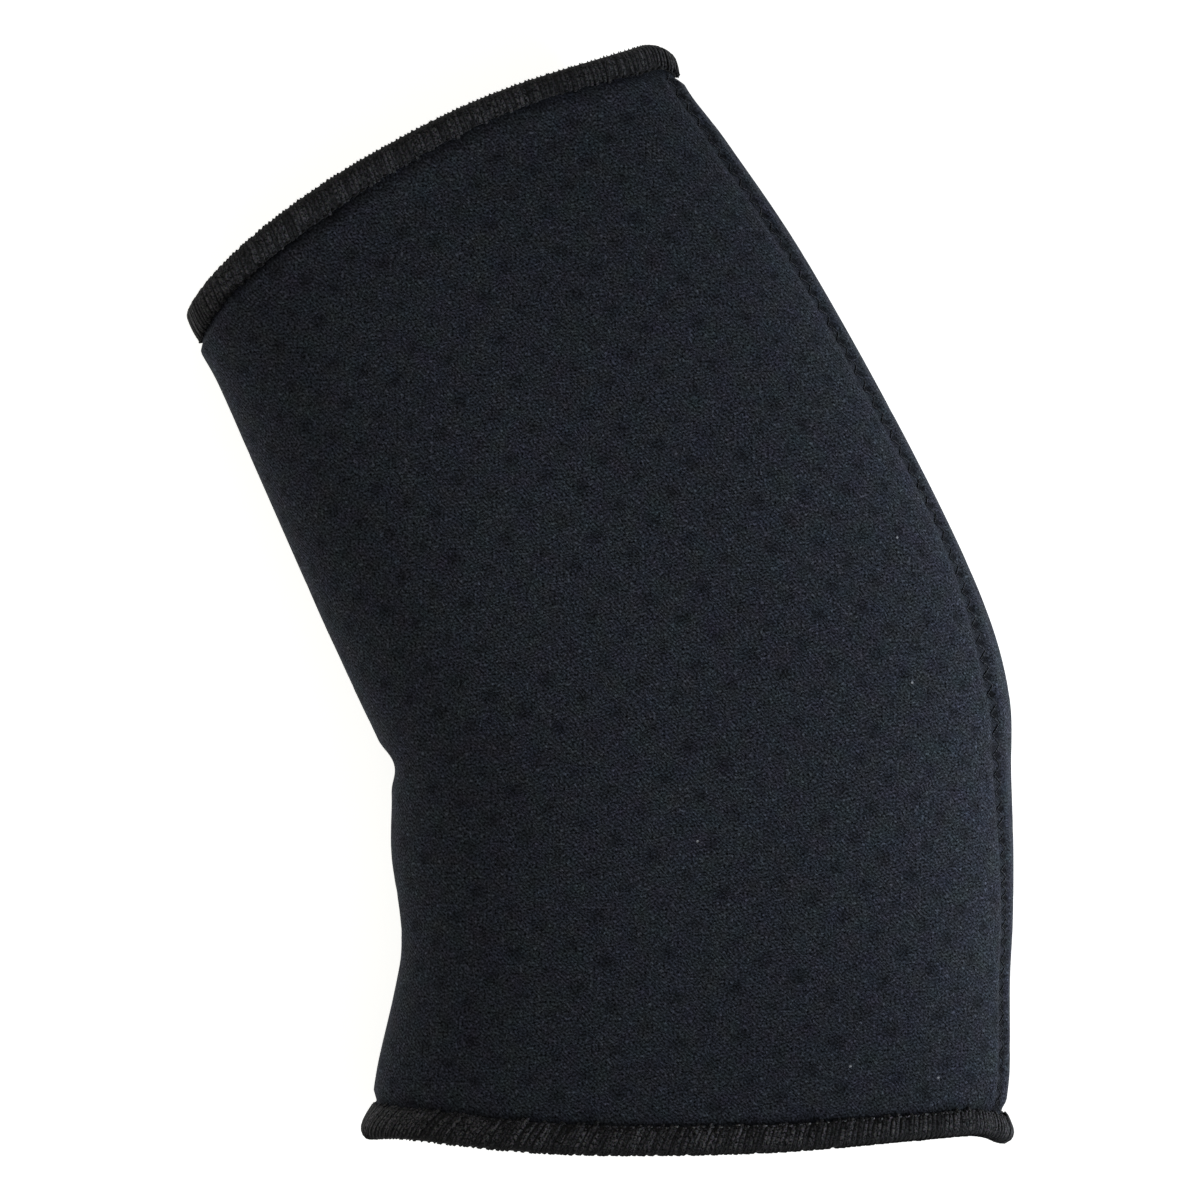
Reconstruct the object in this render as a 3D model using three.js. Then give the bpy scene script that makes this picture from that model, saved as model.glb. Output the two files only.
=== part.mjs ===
// Elbow sleeve of perforated neoprene, lying on its side on a flat surface.
// Millimetres, +Z up. The origin is on the surface, under the middle of the sleeve.
// +Y runs from the upper-arm end to the forearm end, +X towards the point of the elbow.

import * as THREE from "three";

// Cloth
const WALL = 3.0; // neoprene foam with a knitted face inside and out
const WALL_UNDER_HEM = 2.0; // the thread pulls the cut edge thin
const CLEARANCE = 0.3; // gap between two pieces

// Overlocked hems
const HEM_WIDTH = 6.4; // from the rim to the line of needle stitches
const HEM_SPREAD = 2.2; // the forearm hem is wider than that in the crook
const HEM_SPREAD_REACH = 50; // degrees round the section
const THREAD_DEPTH = 1.0; // thread wound on the face, the edge and the back of the cloth
const PINCH_REACH = 4.0; // the cloth swells back to its own level over this length
const LUMP_HEIGHT = 1.0; // the hem is thicker beside the seam that it crosses
const LUMP_ANGLE = 8; // degrees above the outermost line
const LUMP_REACH = 24;

// Zigzag seam along the outside of the bend
const SEAM_ANGLE = 19; // degrees above the outermost line, before it wanders
const SEAM_REACH = 60; // the cloth wanders with the seam over these degrees to either side
const SEAM_HALF_ANGLE = 2.4; // half the width of the stitching, about 3 mm in all
const SEAM_DEPTH = 0.8; // the stitching lies in a groove of this depth, plus the clearance
const SEAM_CROWN = 0.25; // the stitching is a little higher along its middle
const GROOVE_FLOOR = 2.8; // half the width of the groove's floor, in degrees
const GROOVE_EDGE = 5.2; // half the width of the whole groove, in degrees

// Section through the sleeve: a flattened arch above, two round corners and a flat below
const ARCH_POWER = 2.7; // 2 is half an ellipse, and more is flatter on top with fuller shoulders
const WIDEST_SHARE = 0.41; // height of the widest line, as a share of the section's height
const FLAT_SHARE = 0.5; // width of the flat, as a share of the section's width
const CORNER_DEGREES = 60; // stretch of the angle that each round corner takes

// The rims stand out in the middle of the cloth
const UPPER_ARM_BOW = 3.4;
const FOREARM_BOW = 7.8;
const BOW_POWER = 2.4; // how full the bow stays towards the corners

// Corners where a rim stands out past the curve of its bow, or falls short of it
const CORNER_FADE = 22; // distance from the rim over which that fades
const UPPER_ARM_CORNERS = [
  { angle: 0, reach: 36, out: 3.6 },
  { angle: 180, reach: 36, out: 0.8 },
  { angle: 55, reach: 42, out: -1.1 },
  { angle: 138, reach: 38, out: -0.9 },
];
const FOREARM_CORNERS = [
  { angle: 52, reach: 48, out: -1.8 },
  { angle: 0, reach: 24, out: -2.6 },
];

// Sections from the upper-arm rim to the forearm rim: the ends of the widest line, and the height.
// The rows second from each end are the necks just inside the hems.
const SECTIONS = [
  { innerX: -53.5, innerY: -116.7, outerX: 90.9, outerY: -115.5, height: 43.0 },
  { innerX: -50.4, innerY: -110.0, outerX: 89.4, outerY: -109.7, height: 41.0 },
  { innerX: -48.7, innerY: -101.6, outerX: 90.1, outerY: -102.0, height: 42.0 },
  { innerX: -44.8, innerY: -84.4, outerX: 90.1, outerY: -84.4, height: 43.0 },
  { innerX: -44.3, innerY: -73.4, outerX: 90.7, outerY: -71.2, height: 43.5 },
  { innerX: -45.9, innerY: -55.8, outerX: 90.8, outerY: -55.8, height: 44.0 },
  { innerX: -45.9, innerY: -41.5, outerX: 90.3, outerY: -39.3, height: 44.5 },
  { innerX: -48.2, innerY: -32.7, outerX: 89.7, outerY: -20.6, height: 44.5 },
  { innerX: -55.1, innerY: -18.4, outerX: 83.2, outerY: 1.4, height: 44.0 },
  { innerX: -63.9, innerY: 1.4, outerX: 67.4, outerY: 34.4, height: 43.0 },
  { innerX: -75.6, innerY: 27.8, outerX: 45.4, outerY: 74.0, height: 41.0 },
  { innerX: -83.9, innerY: 46.5, outerX: 28.5, outerY: 99.3, height: 39.0 },
  { innerX: -88.3, innerY: 54.6, outerX: 19.0, outerY: 112.3, height: 37.5 },
  { innerX: -91.5, innerY: 63.0, outerX: 14.0, outerY: 122.3, height: 39.0 },
];

// The seam's angle on its way from the upper-arm rim to the forearm rim
const SEAM_PATH = [
  { along: 0, angle: 15.5 },
  { along: 38, angle: 15.7 },
  { along: 58, angle: 17.7 },
  { along: 77, angle: 21.1 },
  { along: 92, angle: 23.9 },
  { along: 103, angle: 22.1 },
  { along: 112, angle: 19.1 },
  { along: 122, angle: 16.9 },
  { along: 132, angle: 17.3 },
  { along: 142, angle: 18.5 },
  { along: 162, angle: 18.9 },
  { along: 182, angle: 20.2 },
  { along: 200, angle: 20.5 },
  { along: 211, angle: 18.4 },
  { along: 230, angle: 18.4 },
];

// Folds where the inside of the bend buckles: place along the middle line and round the section.
const FOLDS = [
  { along: 83, halfLength: 9, angle: 196, reach: 40, depth: 3.4 },
  { along: 45, halfLength: 16, angle: 205, reach: 45, depth: 2.2 },
  { along: 112, halfLength: 18, angle: 208, reach: 40, depth: 1.8 },
];

// Spacing of the facets
const OUTSIDE_STEP = 5.5;
const INSIDE_STEP = 11;
const TOP_DEGREES = 7.5;
const GROOVE_MARGIN = 1; // no facet edge this close to the groove, in degrees
const CORNER_STEPS = 6;
const FLAT_STEPS = 4;
const EDGE_STEPS = 6; // round the folded edge of a hem
const MIDLINE_SAMPLES = 600;
const SLOPE_STEP = 0.05; // millimetres and degrees over which a slope is taken

// Looks
const NEOPRENE = { color: "#1f2126", roughness: 0.85, metalness: 0 };
const HEM_THREAD = { color: "#1c1c1d", roughness: 0.7, metalness: 0 };
const SEAM_THREAD = { color: "#16171a", roughness: 0.7, metalness: 0 };

const { clamp, degToRad, euclideanModulo, lerp, smoothstep } = THREE.MathUtils;

// A hump that is 1 in its middle and falls smoothly to 0 at its reach.
function hump(distance, reach) {
  return Math.cos((clamp(distance / reach, -1, 1) * Math.PI) / 2) ** 2;
}

// The turn from one angle to another, the short way round.
function turnFrom(angle, other) {
  return euclideanModulo(other - angle + 180, 360) - 180;
}

// A column of the table on a smooth curve through its values, from row 0 to the last row.
function column(name, place) {
  const last = SECTIONS.length - 1;
  const row = clamp(Math.floor(place), 0, last - 1);
  const value = (i) => SECTIONS[clamp(i, 0, last)][name];
  const u = place - row;
  const slopeA = (value(row + 1) - value(row - 1)) / 2;
  const slopeB = (value(row + 2) - value(row)) / 2;
  const rise = value(row + 1) - value(row);
  const square = 3 * rise - 2 * slopeA - slopeB;
  const cube = slopeA + slopeB - 2 * rise;
  return value(row) + u * (slopeA + u * (square + u * cube));
}

function widestLine(place) {
  return {
    inner: new THREE.Vector3(column("innerX", place), column("innerY", place), 0),
    outer: new THREE.Vector3(column("outerX", place), column("outerY", place), 0),
  };
}

// Lengths along the middle of the sleeve, so that places can be given in millimetres from a rim.
const midline = Array.from({ length: MIDLINE_SAMPLES + 1 }, (_, i) => {
  const place = (i / MIDLINE_SAMPLES) * (SECTIONS.length - 1);
  const { inner, outer } = widestLine(place);
  return { place, point: inner.add(outer).divideScalar(2), along: 0 };
});
for (let i = 1; i < midline.length; i += 1) {
  midline[i].along = midline[i - 1].along + midline[i].point.distanceTo(midline[i - 1].point);
}
const LENGTH = midline[MIDLINE_SAMPLES].along;

function placeAt(along) {
  const next = clamp(midline.findIndex((sample) => sample.along >= along), 1, MIDLINE_SAMPLES);
  const [a, b] = [midline[next - 1], midline[next]];
  return a.place + ((along - a.along) / (b.along - a.along)) * (b.place - a.place);
}

// One section in its own plane. The angle starts at the outside of the bend and goes over the top.
function sectionPoint(angle, halfWidth, height) {
  const widest = WIDEST_SHARE * height;
  const turn = euclideanModulo(angle, 360);
  if (turn <= 180) {
    const power = 2 / ARCH_POWER;
    const cosine = Math.cos(degToRad(turn));
    const reach = Math.sign(cosine) * Math.abs(cosine) ** power;
    const lift = Math.abs(Math.sin(degToRad(turn))) ** power;
    return { across: halfWidth * reach, up: widest + (height - widest) * lift };
  }
  const side = turn < 270 ? -1 : 1;
  const flatHalf = FLAT_SHARE * halfWidth;
  const corner = Math.min(turn - 180, 360 - turn) / CORNER_DEGREES;
  if (corner >= 1) {
    return { across: (flatHalf * (turn - 270)) / (90 - CORNER_DEGREES), up: 0 };
  }
  const bend = (corner * Math.PI) / 2;
  const reach = flatHalf + (halfWidth - flatHalf) * Math.cos(bend);
  return { across: side * reach, up: widest * (1 - Math.sin(bend)) };
}

// How far the middle of a section stands out towards the forearm, fading from both rims to the elbow.
function bowAt(along) {
  const share = (2 * along) / LENGTH - 1;
  return share > 0 ? FOREARM_BOW * share ** 2 : -UPPER_ARM_BOW * share ** 2;
}

// How far the corners of the rims stand out towards the forearm.
function cornersAt(along, angle) {
  const sum = (corners) => corners.reduce((total, { angle: middle, reach, out }) => {
    return total + out * hump(turnFrom(middle, angle), reach);
  }, 0);
  const upperArm = 1 - smoothstep(along, 0, CORNER_FADE);
  const forearm = 1 - smoothstep(LENGTH - along, 0, CORNER_FADE);
  return forearm * sum(FOREARM_CORNERS) - upperArm * sum(UPPER_ARM_CORNERS);
}

// How far the cloth is turned round the arm by the wandering seam.
function driftAt(along, angle) {
  const next = clamp(SEAM_PATH.findIndex((point) => point.along > along), 1, SEAM_PATH.length - 1);
  const [a, b] = [SEAM_PATH[next - 1], SEAM_PATH[next]];
  const seam = lerp(a.angle, b.angle, (along - a.along) / (b.along - a.along));
  return (seam - SEAM_ANGLE) * hump(turnFrom(SEAM_ANGLE, angle), SEAM_REACH);
}

// The outermost skin of the sleeve, before pinches, grooves and folds.
function skin(along, angle) {
  const distance = clamp(along, 0, LENGTH);
  const place = placeAt(distance);
  const { inner, outer } = widestLine(place);
  const middle = inner.clone().add(outer).divideScalar(2);
  const halfWidth = outer.distanceTo(inner) / 2;
  const across = outer.clone().sub(middle).normalize();
  const axis = new THREE.Vector3(-across.y, across.x, 0);
  const turned = angle + driftAt(distance, angle);
  const section = sectionPoint(turned, halfWidth, column("height", place));
  const fullness = 1 - Math.abs(section.across / halfWidth) ** BOW_POWER;
  const point = middle.addScaledVector(across, section.across);
  point.addScaledVector(axis, bowAt(distance) * fullness + cornersAt(distance, turned));
  point.z = section.up;
  return point;
}

function foldDepth(along, angle) {
  const depths = FOLDS.map((fold) => {
    const round = hump(angle - fold.angle, fold.reach);
    return fold.depth * round * hump(along - fold.along, fold.halfLength);
  });
  return depths.reduce((sum, depth) => sum + depth, 0);
}

// A point at a depth below the skin, measured square to it.
function below(along, angle, depth) {
  const lengthwise = skin(along + SLOPE_STEP, angle).sub(skin(along - SLOPE_STEP, angle));
  const round = skin(along, angle + SLOPE_STEP).sub(skin(along, angle - SLOPE_STEP));
  const outward = lengthwise.cross(round).normalize();
  return skin(along, angle).addScaledVector(outward, -depth - foldDepth(along, angle));
}

// Angles of the facets: over the top with extra ones at the seam, then the corners and the flat.
function facetAngles() {
  const angles = [];
  for (let angle = 0; angle <= 180; angle += TOP_DEGREES) {
    const fromSeam = Math.abs(angle - SEAM_ANGLE);
    if (fromSeam > GROOVE_EDGE + GROOVE_MARGIN) angles.push(angle);
  }
  for (const offset of [-GROOVE_EDGE, -GROOVE_FLOOR, 0, GROOVE_FLOOR, GROOVE_EDGE]) {
    angles.push(SEAM_ANGLE + offset);
  }
  for (let i = 1; i <= CORNER_STEPS; i += 1) {
    angles.push(180 + (CORNER_DEGREES * i) / CORNER_STEPS);
    angles.push(360 - (CORNER_DEGREES * i) / CORNER_STEPS);
  }
  for (let i = 1; i < FLAT_STEPS; i += 1) {
    angles.push(180 + CORNER_DEGREES + ((180 - 2 * CORNER_DEGREES) * i) / FLAT_STEPS);
  }
  return angles.sort((a, b) => a - b);
}
const ANGLES = facetAngles();

// Evenly spaced places between two lengths along the sleeve, both ends included.
function spread(from, to, step) {
  const count = Math.ceil((to - from) / step);
  return Array.from({ length: count + 1 }, (_, i) => from + ((to - from) * i) / count);
}

// Rings of points joined into one closed surface: end to end as a loop, or with a cap at each end.
function closedSurface(rings, isLoop) {
  const count = rings[0].length;
  const index = [];
  rings.forEach((ring, r) => {
    if (!isLoop && r === rings.length - 1) return;
    const here = r * count;
    const there = ((r + 1) % rings.length) * count;
    ring.forEach((_, i) => {
      const j = (i + 1) % count;
      index.push(here + i, there + i, there + j);
      index.push(here + i, there + j, here + j);
    });
  });
  if (!isLoop) {
    const end = (rings.length - 1) * count;
    for (let i = 1; i < count - 1; i += 1) {
      index.push(0, i, i + 1);
      index.push(end, end + i + 1, end + i);
    }
  }
  const geometry = new THREE.BufferGeometry().setFromPoints(rings.flat());
  geometry.setIndex(index);
  geometry.computeVertexNormals();
  return geometry;
}

function piece(name, geometry, looks) {
  const mesh = new THREE.Mesh(geometry, new THREE.MeshStandardMaterial(looks));
  mesh.name = name;
  return mesh;
}

// Depths of the two faces of the neoprene under a hem
const FACE_UNDER_HEM = THREAD_DEPTH + CLEARANCE;
const BACK_UNDER_HEM = FACE_UNDER_HEM + WALL_UNDER_HEM;
const CUT_EDGE = THREAD_DEPTH + CLEARANCE; // from the rim to the cut edge of the cloth
const HEM_INSIDE = BACK_UNDER_HEM + CLEARANCE + THREAD_DEPTH; // depth of a hem's inner face
const NECK = HEM_WIDTH + CLEARANCE; // the cloth comes out of the hem here

// How much wider a hem is than its width
function hemSpread(angle, isForearm) {
  return isForearm ? HEM_SPREAD * hump(turnFrom(180, angle), HEM_SPREAD_REACH) : 0;
}

// 1 under a hem, falling to 0 where the cloth is back at its own level
function pinch(along, angle) {
  const isForearm = along > LENGTH / 2;
  const fromRim = isForearm ? LENGTH - along : along;
  const neck = NECK + hemSpread(angle, isForearm);
  return 1 - smoothstep(fromRim, neck, neck + PINCH_REACH);
}

function grooveDepth(angle) {
  const fromSeam = Math.abs(angle - SEAM_ANGLE);
  const side = 1 - smoothstep(fromSeam, GROOVE_FLOOR, GROOVE_EDGE);
  return (SEAM_DEPTH + CLEARANCE) * side;
}

// The tube of neoprene: its outer face from rim to rim, then its inner face back again.
function sleeveBody() {
  const swell = NECK + PINCH_REACH;
  const rimPlaces = [CUT_EDGE, NECK, NECK + PINCH_REACH / 2];
  const fromEnd = (place) => LENGTH - place;
  const outside = [
    ...rimPlaces,
    ...spread(swell, LENGTH - swell, OUTSIDE_STEP),
    ...rimPlaces.map(fromEnd).reverse(),
  ];
  const inside = [
    CUT_EDGE,
    NECK,
    ...spread(swell, LENGTH - swell, INSIDE_STEP),
    fromEnd(NECK),
    fromEnd(CUT_EDGE),
  ].reverse();
  const outerRings = outside.map((along) => ANGLES.map((angle) => {
    const depth = Math.max(pinch(along, angle) * FACE_UNDER_HEM, grooveDepth(angle));
    return below(along, angle, depth);
  }));
  const innerRings = inside.map((along) => ANGLES.map((angle) => {
    const depth = lerp(WALL, BACK_UNDER_HEM, pinch(along, angle));
    return below(along, angle, depth);
  }));
  const geometry = closedSurface([...outerRings, ...innerRings], true);
  return piece("sleeve_body", geometry, NEOPRENE);
}

// The section of a hem: out along the face, round the rim, back inside and through the channel.
function hemProfile(width) {
  const radius = HEM_INSIDE / 2;
  const roundEdge = Array.from({ length: EDGE_STEPS + 1 }, (_, i) => {
    const bend = (Math.PI * i) / EDGE_STEPS;
    return { fromRim: radius * (1 - Math.sin(bend)), depth: radius * (1 - Math.cos(bend)) };
  });
  return [
    { fromRim: width, depth: 0 },
    ...roundEdge,
    { fromRim: width, depth: HEM_INSIDE },
    { fromRim: width, depth: HEM_INSIDE - THREAD_DEPTH },
    { fromRim: THREAD_DEPTH, depth: HEM_INSIDE - THREAD_DEPTH },
    { fromRim: THREAD_DEPTH, depth: THREAD_DEPTH },
    { fromRim: width, depth: THREAD_DEPTH },
  ];
}

function hem(name, isForearm) {
  const profiles = ANGLES.map((angle) => hemProfile(HEM_WIDTH + hemSpread(angle, isForearm)));
  const rings = profiles[0].map((_, corner) => ANGLES.map((angle, i) => {
    const { fromRim, depth } = profiles[i][corner];
    const along = isForearm ? LENGTH - fromRim : fromRim;
    const lump = depth === 0 ? LUMP_HEIGHT * hump(turnFrom(LUMP_ANGLE, angle), LUMP_REACH) : 0;
    return below(along, angle, depth - lump);
  }));
  if (!isForearm) rings.reverse();
  return piece(name, closedSurface(rings, true), HEM_THREAD);
}

// The band of zigzag stitching in its groove, from one hem to the other.
function elbowSeam() {
  const profile = [
    { offset: -SEAM_HALF_ANGLE, depth: SEAM_DEPTH },
    { offset: -SEAM_HALF_ANGLE, depth: 0 },
    { offset: 0, depth: -SEAM_CROWN },
    { offset: SEAM_HALF_ANGLE, depth: 0 },
    { offset: SEAM_HALF_ANGLE, depth: SEAM_DEPTH },
  ];
  const start = NECK + PINCH_REACH;
  const places = [NECK, ...spread(start, LENGTH - start, OUTSIDE_STEP), LENGTH - NECK];
  const rings = places.map((along) => profile.map(({ offset, depth }) => {
    return below(along, SEAM_ANGLE + offset, depth);
  }));
  return piece("elbow_seam", closedSurface(rings, false), SEAM_THREAD);
}

const sleeve = new THREE.Group();
sleeve.name = "elbow_sleeve";
sleeve.add(
  sleeveBody(),
  hem("upper_arm_hem", false),
  hem("forearm_hem", true),
  elbowSeam(),
);

export default sleeve;
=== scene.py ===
"""Elbow sleeve of perforated neoprene, lying on its side and seen from straight above.

Lengths are in metres and angles in radians. A place on the sleeve has two coordinates: along, the
distance from the upper-arm rim on the middle line, and angle, which starts at the outside of the bend
and goes over the top to the crook and back underneath.
"""

from functools import partial

import bpy
import numpy as np
from bpy.props import FloatProperty, FloatVectorProperty, PointerProperty
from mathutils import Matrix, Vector
from numpy.polynomial.polynomial import polyval2d


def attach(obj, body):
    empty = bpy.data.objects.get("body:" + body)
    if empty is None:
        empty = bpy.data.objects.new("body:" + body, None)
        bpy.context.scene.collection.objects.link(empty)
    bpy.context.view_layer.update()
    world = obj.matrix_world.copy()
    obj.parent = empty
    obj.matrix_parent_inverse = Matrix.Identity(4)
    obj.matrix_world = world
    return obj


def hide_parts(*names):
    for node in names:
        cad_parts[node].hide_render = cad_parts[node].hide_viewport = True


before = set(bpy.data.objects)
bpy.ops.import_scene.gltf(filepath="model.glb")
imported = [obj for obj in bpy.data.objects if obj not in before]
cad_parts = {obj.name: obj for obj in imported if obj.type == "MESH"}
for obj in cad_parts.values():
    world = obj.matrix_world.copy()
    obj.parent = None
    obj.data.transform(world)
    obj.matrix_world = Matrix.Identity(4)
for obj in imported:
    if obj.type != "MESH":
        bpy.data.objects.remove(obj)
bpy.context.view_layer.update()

bl_info = {
    "name": "Perforated Elbow Sleeve",
    "version": (1, 0, 0),
    "blender": (4, 5, 0),
    "location": "3D View > Sidebar > Sleeve",
    "description": "Dresses a neoprene elbow sleeve with knit, overlocked hems and a zigzag seam",
    "category": "Add Mesh",
}

MM = 0.001
QUARTER = np.pi / 2
HALF = np.pi
FULL = 2 * np.pi

# Sections from the upper-arm rim to the forearm rim, in millimetres: both ends of the widest line,
# first in the crook and then at the outside of the bend, and the height.
# inner x, inner y, outer x, outer y, height
SECTIONS = MM * np.array([
    (-53.5, -116.7, 90.9, -115.5, 43.0),
    (-50.4, -110.0, 89.4, -109.7, 41.0),
    (-48.7, -101.6, 90.1, -102.0, 42.0),
    (-44.8, -84.4, 90.1, -84.4, 43.0),
    (-44.3, -73.4, 90.7, -71.2, 43.5),
    (-45.9, -55.8, 90.8, -55.8, 44.0),
    (-45.9, -41.5, 90.3, -39.3, 44.5),
    (-48.2, -32.7, 89.7, -20.6, 44.5),
    (-55.1, -18.4, 83.2, 1.4, 44.0),
    (-63.9, 1.4, 67.4, 34.4, 43.0),
    (-75.6, 27.8, 45.4, 74.0, 41.0),
    (-83.9, 46.5, 28.5, 99.3, 39.0),
    (-88.3, 54.6, 19.0, 112.3, 37.5),
    (-91.5, 63.0, 14.0, 122.3, 39.0),
])

# Folds where the inside of the bend buckles.
# along mm, half length mm, angle degrees, reach degrees, depth mm
FOLDS = (
    (83, 9, 196, 40, 3.4),
    (45, 16, 205, 45, 2.2),
    (112, 18, 208, 40, 1.8),
)

# Corners where a rim stands out past the curve of its bow, or falls short of it.
# angle degrees, reach degrees, out mm
UPPER_ARM_CORNERS = ((0, 36, 3.6), (180, 36, 0.8), (55, 42, -1.1), (138, 38, -0.9))
FOREARM_CORNERS = ((52, 48, -1.8), (0, 24, -2.6))
CORNER_FADE = 22 * MM  # distance from the rim over which that fades

ARCH_POWER = 2.7  # 2 is half an ellipse, and more is flatter on top with fuller shoulders
WIDEST_SHARE = 0.41  # height of the widest line, as a share of the section's height
FLAT_SHARE = 0.5  # width that lies flat, as a share of the section's width
CORNER = np.radians(60)  # stretch of the angle that each round corner underneath takes
UPPER_ARM_BOW = 3.4 * MM  # how far the middle of each rim stands out
FOREARM_BOW = 7.8 * MM
BOW_POWER = 2.4
SEAM_ANGLE = np.radians(19)
GROOVE_FLOOR = np.radians(2.8)
GROOVE_EDGE = np.radians(5.2)
LUMP_ANGLE = np.radians(8)
LUMP_REACH = np.radians(24)
NEEDLE_ANGLE = np.radians(68)  # where the painted highlight on the needle lines is strongest
NEEDLE_REACH = np.radians(40)
NEEDLE_SHARE = 0.25  # how much of that painted highlight is left elsewhere
MIDDLE_REACH = np.radians(60)

# Widths of the hems round the rims, from the rim to the needle line.
# angle degrees, upper arm mm, forearm mm
HEM_WIDTHS = np.array([
    (0, 5.4, 5.6), (30, 5.2, 5.7), (54, 5.1, 4.6), (75, 5.2, 4.4), (90, 5.3, 4.8), (105, 5.5, 5.8),
    (142, 5.8, 6.7), (160, 5.8, 8.0), (180, 5.8, 8.8), (210, 5.8, 6.4), (360, 5.4, 5.6),
])

# The seam wanders round the arm, and the cloth near it with it.
# along mm, angle degrees
SEAM_PATH = np.array([
    (0, 15.5), (38, 15.7), (58, 17.7), (77, 21.1), (92, 23.9), (103, 22.1), (112, 19.1), (122, 16.9),
    (132, 17.3), (142, 18.5), (162, 18.9), (182, 20.2), (200, 20.5), (211, 18.4), (230, 18.4),
])
DRIFT_REACH = np.radians(60)

# Lean of the strands from needle line to rim, positive towards the outside of the bend: in the crook and
# at the outside, for the upper-arm hem and the forearm hem
HEM_LEANS = np.radians([(-26, -14), (2, 6)])

# The perforations make a lattice on the flat cloth: directions of its two rows, their steps as shares
# of the pitch, and one perforation's centre
ROW_TURNS = np.radians([-27.0, 55.4])
ROW_SHARES = np.array([1.0, 0.957])
HOLE_ORIGIN = MM * np.array([19.3, -15.7])

# The stretched cloth bends both rows. Their drift, in steps, is a sum of powers of the place on the flat
# cloth, in units of 100 mm: powers of x go from bracket to bracket, and powers of y inside a bracket.
HOLE_DRIFT = (
    ((0, -0.2, -0.4, 0.9), (0, -0.4, 1.1, 0), (0.9, -0.3, 0, 0), (-2.9, 0, 0, 0)),
    ((0.1, 0.1, -0.7, -0.5), (0.7, -0.3, -1.7, 0), (-1.6, -3.6, 0, 0), (-1.9, 0, 0, 0)),
)
DRIFT_UNIT = 100 * MM

# Specks of lint on the flat cloth
LINT_PLACES = MM * np.array([(21.0, -52.5), (54.0, -101.1), (73.7, -104.0), (65.1, 13.0), (67.6, -18.5)])
LINT_RADIUS = 0.3 * MM
LINT_EDGES = (1.2, 0.4)  # where a speck starts and where it is full, as shares of its radius

# On the flat cloth the legs of the knit loops run together into slanting ridges, crossed by the courses.
# Both wander in two sizes. The grain of the fibres is drawn as coarse as it needs to show.
LEG_TURN = np.radians(-40)
COURSE_TURN = np.radians(12)
COURSE_SHARE = 0.6  # height of the courses, as a share of the ridges' height
KNIT_WANDERS = MM * np.array([(5.0, 2.0), (1.2, 0.9)])  # size and reach of each
LOOP_HEIGHT = 0.2 * MM
RIDGE_LIGHTS = (0.5, 1.5)  # between the ridges and on them
GRAIN_SIZE = 0.5 * MM
GRAIN_LIGHTS = (-0.15, 2.15)
FIBRE_SIZE = 0.8 * MM
FIBRE_EDGES = (0.65, 0.8)  # a bright fibre shows where the noise is above these
FIBRE_LIGHT = 1.8
MOTTLE_SIZE = 5 * MM
MOTTLE = 0.4  # how far the colour wanders
NOISE_LOW = 0.3  # most of a noise texture lies between these
NOISE_HIGH = 0.7

# Painted shade over the perforations' dimples and in the dents of the seam: where a spot starts and where
# it is full, as shares of its radius, and how strong the weakest and the strongest are
SPOT_EDGES = (1.5, 0.2)
SPOT_SHADES = (0.15, 0.5)
SPOT_SHIFT = 0.3  # how far a spot's edge wanders, as a share of the pitch
DENT_EDGES = (1.2, 0.5)
DENT_SQUEEZE = 0.45  # a dent is longer across the seam than along it
DENT_DEPTH = 0.45 * MM
WEAKEST_DENT = 0.65
SEAM_SHADES = (0.1, 0.75)  # painted shade of the gathered band along the seam
BAND_EDGES = (0.9, 0.4)  # as shares of the zigzag's width
GATHER_SIZES = MM * np.array([0.8, 2.5])  # along the seam and across it

# The picture's middle on the floor, and the height of the sleeve's outline
PICTURE_CENTRE = MM * np.array([0.0, -0.7])
OUTLINE_HEIGHT = 18 * MM
SHOULDER = 25 * MM  # height below which the sides turn down

MIDLINE_SAMPLES = 800
MIDLINE_OVERRUN = 0.3
ARC_SAMPLES = 1440
SLOPE_STEP = 0.05 * MM
SLOPE_TURN = np.radians(0.05)
BODY_COLUMNS = 342
OUTER_ROWS = 250
INNER_ROWS = 22
HEM_COLUMNS = 300
THREAD_SIDES = 8
FACE_STEPS = 5
BEND_STEPS = 9

# Lightness of the threads, drawn for each strand from a range
STRAND_TONES = ((0.5, 2.0), (0.45, 1.65))  # upper-arm hem, forearm hem
MIDDLE_LIGHTS = (0.45, 0.0)  # painted light: extra share of that in the middle of the top
# painted highlight on the needle stitches, far lighter on the upper-arm hem than on the forearm hem
NEEDLE_LIGHTS = ((3.0, 7.0), (0.3, 1.0))
SEAM_TONES = (0.8, 1.2)
RIM_SHADE = 0.2  # painted shade where a strand goes over the rim and on the back
RIM_ARC = np.radians([28, 64])  # where that painted shade comes in
SIDE_SHADE = 0.1  # painted shade at the sides of a strand, where it turns away
THREAD_GAINS = (0.25, 2.2)  # darkest and lightest, as shares of the thread's colour
HUES = 0.9  # how far the colour wanders

# Fuzz and twist of the threads
FUZZ_SIZE = 0.4 * MM
FUZZ_EDGES = (0.4, 0.6)  # the noise is drawn out between these
PLY_SHARE = 0.15  # how much of the relief is plies, against fuzz
PLY_HEIGHT = 0.15 * MM
HEM_PLY = 1.6 * MM  # length of a twist
SEAM_PLY = 1.2 * MM

# Thread packed under the strands
# painted shade of the packed thread, which shows dark in the gaps between the strands
CORE_SHADE = 0.25
CORE_WIDTH = 0.95  # as a share of the hem's width
CORE_LUMP = 0.6  # as a share of the lump by the seam
CORE_RIM = 0.04 * MM  # how far below the strands' tops it lies at the rim
CORE_SHARE = 0.25  # and on the face, as a share of their radius

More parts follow.
